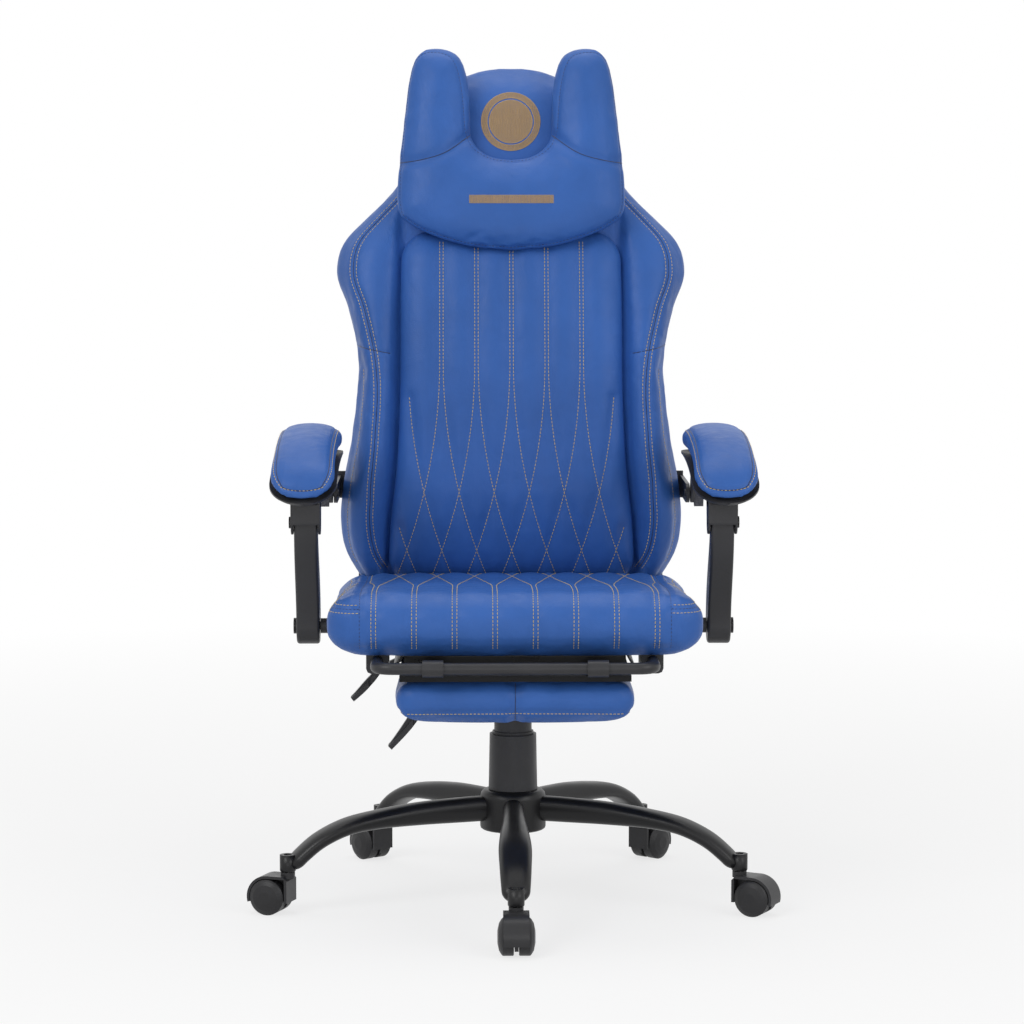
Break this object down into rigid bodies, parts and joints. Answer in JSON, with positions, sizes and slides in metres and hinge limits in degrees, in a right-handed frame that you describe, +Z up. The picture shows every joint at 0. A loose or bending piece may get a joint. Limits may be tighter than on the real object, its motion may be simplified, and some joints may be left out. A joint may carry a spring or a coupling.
{
  "type": "gaming chair",
  "caption": "Swivel gaming chair: quilted leatherette seat and high back with head pillow, linked armrests, reclining back, gas lift, fold-out footrest and twin-wheel casters.",
  "frame": {"origin": "the point of the floor under the gas column's axis", "axes": "+Z up, the chair faces -Y, +X is the side that a viewer facing the chair sees on the right"},
  "size_m": [0.742, 0.7585, 1.205],
  "materials": {
    "frame_black": "satin",
    "bare_steel": "satin",
    "tube_black": "satin",
    "cover_black": "satin",
    "bush_plastic": "matte",
    "leather_blue": "satin",
    "plywood": "matte",
    "elastic_black": "matte",
    "grey_plastic": "satin",
    "caster_black": "satin",
    "wheel_black": "matte"
  },
  "bodies": {
    "base": {"star_base": "frame_black", "gas_spring_tube": "tube_black", "guide_bush": "bush_plastic", "thrust_bearing": "bare_steel", "lower_cover": "cover_black"},
    "piston": {"piston_rod": "bare_steel"},
    "seat_unit": {"gas_cylinder": "bare_steel", "upper_cover": "cover_black", "mechanism_box": "frame_black", "lever_pins": "bare_steel", "seat_frame": "frame_black", "seat_tray": "frame_black", "seat_bolts": "bare_steel", "seat_cushion": "leather_blue", "seat_board": "plywood", "footrest_guides": "frame_black", "recline_pins": "bare_steel", "post_bolts": "bare_steel"},
    "middle_cover": {"middle_cover": "cover_black"},
    "valve": {"valve_pin": "bare_steel"},
    "height_lever": {"height_lever": "frame_black"},
    "recline_lever": {"recline_lever": "frame_black"},
    "footrest_frame": {"footrest_tube": "frame_black"},
    "footrest": {"footrest_clips": "frame_black", "footrest_board": "plywood", "footrest_pad": "leather_blue"},
    "back": {"back_cushion": "leather_blue", "back_board": "plywood", "back_panel": "leather_blue", "back_bracket": "frame_black", "back_bolts": "bare_steel", "head_pillow": "leather_blue", "pillow_strap": "elastic_black"},
    "post_left": {"arm_post_left": "frame_black"},
    "arm_left": {"arm_pad_left": "leather_blue", "arm_bracket_left": "frame_black", "arm_cover_left": "grey_plastic", "arm_pin_left": "bare_steel"},
    "post_right": {"arm_post_right": "frame_black"},
    "arm_right": {"arm_pad_right": "leather_blue", "arm_bracket_right": "frame_black", "arm_cover_right": "grey_plastic", "arm_pin_right": "bare_steel"},
    "caster_1": {"caster_stem_1": "bare_steel", "caster_hood_1": "caster_black"},
    "wheels_1": {"caster_wheels_1": "wheel_black"},
    "caster_2": {"caster_stem_2": "bare_steel", "caster_hood_2": "caster_black"},
    "wheels_2": {"caster_wheels_2": "wheel_black"},
    "caster_3": {"caster_stem_3": "bare_steel", "caster_hood_3": "caster_black"},
    "wheels_3": {"caster_wheels_3": "wheel_black"},
    "caster_4": {"caster_stem_4": "bare_steel", "caster_hood_4": "caster_black"},
    "wheels_4": {"caster_wheels_4": "wheel_black"},
    "caster_5": {"caster_stem_5": "bare_steel", "caster_hood_5": "caster_black"},
    "wheels_5": {"caster_wheels_5": "wheel_black"}
  },
  "joints": [
    {"name": "seat_swivel", "type": "hinge", "parent": "base", "child": "piston", "pos_m": [0, 0, 0.1], "axis": [0, 0, 1], "continuous": true},
    {"name": "seat_lift", "type": "slide", "parent": "piston", "child": "seat_unit", "axis": [0, 0, 1], "range_m": [0, 0.08]},
    {"name": "cover_lift", "type": "slide", "parent": "base", "child": "middle_cover", "axis": [0, 0, 1], "range_m": [0, 0.04]},
    {"name": "valve_travel", "type": "slide", "parent": "seat_unit", "child": "valve", "axis": [0, 0, -1], "range_m": [0, 0.0038]},
    {"name": "height_lever_pull", "type": "hinge", "parent": "seat_unit", "child": "height_lever", "pos_m": [-0.022, -0.03, 0.345], "axis": [0, 1, 0], "range_deg": [0, 8], "stiffness_Nm_per_rad": 1.5, "springref_deg": -17.19},
    {"name": "recline_lever_pull", "type": "hinge", "parent": "seat_unit", "child": "recline_lever", "pos_m": [-0.04, 0.07, 0.345], "axis": [0, 1, 0], "range_deg": [0, 8], "stiffness_Nm_per_rad": 1.5, "springref_deg": -17.19},
    {"name": "footrest_slide", "type": "slide", "parent": "seat_unit", "child": "footrest_frame", "axis": [0, -1, 0], "range_m": [0, 0.2]},
    {"name": "footrest_flip", "type": "hinge", "parent": "footrest_frame", "child": "footrest", "pos_m": [0, -0.275, 0.369], "axis": [-1, 0, 0], "range_deg": [0, 180]},
    {"name": "recline", "type": "hinge", "parent": "seat_unit", "child": "back", "pos_m": [0, 0.2, 0.415], "axis": [-1, 0, 0], "range_deg": [0, 45]},
    {"name": "post_left_swing", "type": "hinge", "parent": "seat_unit", "child": "post_left", "pos_m": [-0.2845, -0.07, 0.4], "axis": [-1, 0, 0], "range_deg": [0, 45]},
    {"name": "arm_left_level", "type": "hinge", "parent": "post_left", "child": "arm_left", "pos_m": [-0.2845, -0.13, 0.55], "axis": [-1, 0, 0], "range_deg": [-45, 0]},
    {"name": "post_right_swing", "type": "hinge", "parent": "seat_unit", "child": "post_right", "pos_m": [0.2845, -0.07, 0.4], "axis": [-1, 0, 0], "range_deg": [0, 45]},
    {"name": "arm_right_level", "type": "hinge", "parent": "post_right", "child": "arm_right", "pos_m": [0.2845, -0.13, 0.55], "axis": [-1, 0, 0], "range_deg": [-45, 0]},
    {"name": "caster_1_swivel", "type": "hinge", "parent": "base", "child": "caster_1", "pos_m": [0, -0.33, 0.06], "axis": [0, 0, 1], "continuous": true},
    {"name": "wheels_1_roll", "type": "hinge", "parent": "caster_1", "child": "wheels_1", "pos_m": [0, -0.355, 0.025], "axis": [1, 0, 0], "continuous": true},
    {"name": "caster_2_swivel", "type": "hinge", "parent": "base", "child": "caster_2", "pos_m": [0.31385, -0.10198, 0.06], "axis": [0, 0, 1], "continuous": true},
    {"name": "wheels_2_roll", "type": "hinge", "parent": "caster_2", "child": "wheels_2", "pos_m": [0.33598, -0.1136, 0.025], "axis": [0.4648, 0.8854, 0], "continuous": true},
    {"name": "caster_3_swivel", "type": "hinge", "parent": "base", "child": "caster_3", "pos_m": [0.19397, 0.26698, 0.06], "axis": [0, 0, 1], "continuous": true},
    {"name": "wheels_3_roll", "type": "hinge", "parent": "caster_3", "child": "wheels_3", "pos_m": [0.21021, 0.28599, 0.025], "axis": [-0.7604, 0.6494, 0], "continuous": true},
    {"name": "caster_4_swivel", "type": "hinge", "parent": "base", "child": "caster_4", "pos_m": [-0.19397, 0.26698, 0.06], "axis": [0, 0, 1], "continuous": true},
    {"name": "wheels_4_roll", "type": "hinge", "parent": "caster_4", "child": "wheels_4", "pos_m": [-0.20994, 0.28621, 0.025], "axis": [-0.7694, -0.6388, 0], "continuous": true},
    {"name": "caster_5_swivel", "type": "hinge", "parent": "base", "child": "caster_5", "pos_m": [-0.31385, -0.10198, 0.06], "axis": [0, 0, 1], "continuous": true},
    {"name": "wheels_5_roll", "type": "hinge", "parent": "caster_5", "child": "wheels_5", "pos_m": [-0.33726, -0.09322, 0.025], "axis": [-0.3502, -0.9367, 0], "continuous": true}
  ],
  "couplings": [
    {"joint": "cover_lift", "follows": "seat_lift", "ratio": 0.5},
    {"joint": "valve_travel", "follows": "height_lever_pull", "m_per_rad": 0.026},
    {"joint": "post_left_swing", "follows": "recline", "ratio": 1},
    {"joint": "arm_left_level", "follows": "recline", "ratio": -1},
    {"joint": "post_right_swing", "follows": "recline", "ratio": 1},
    {"joint": "arm_right_level", "follows": "recline", "ratio": -1}
  ]
}
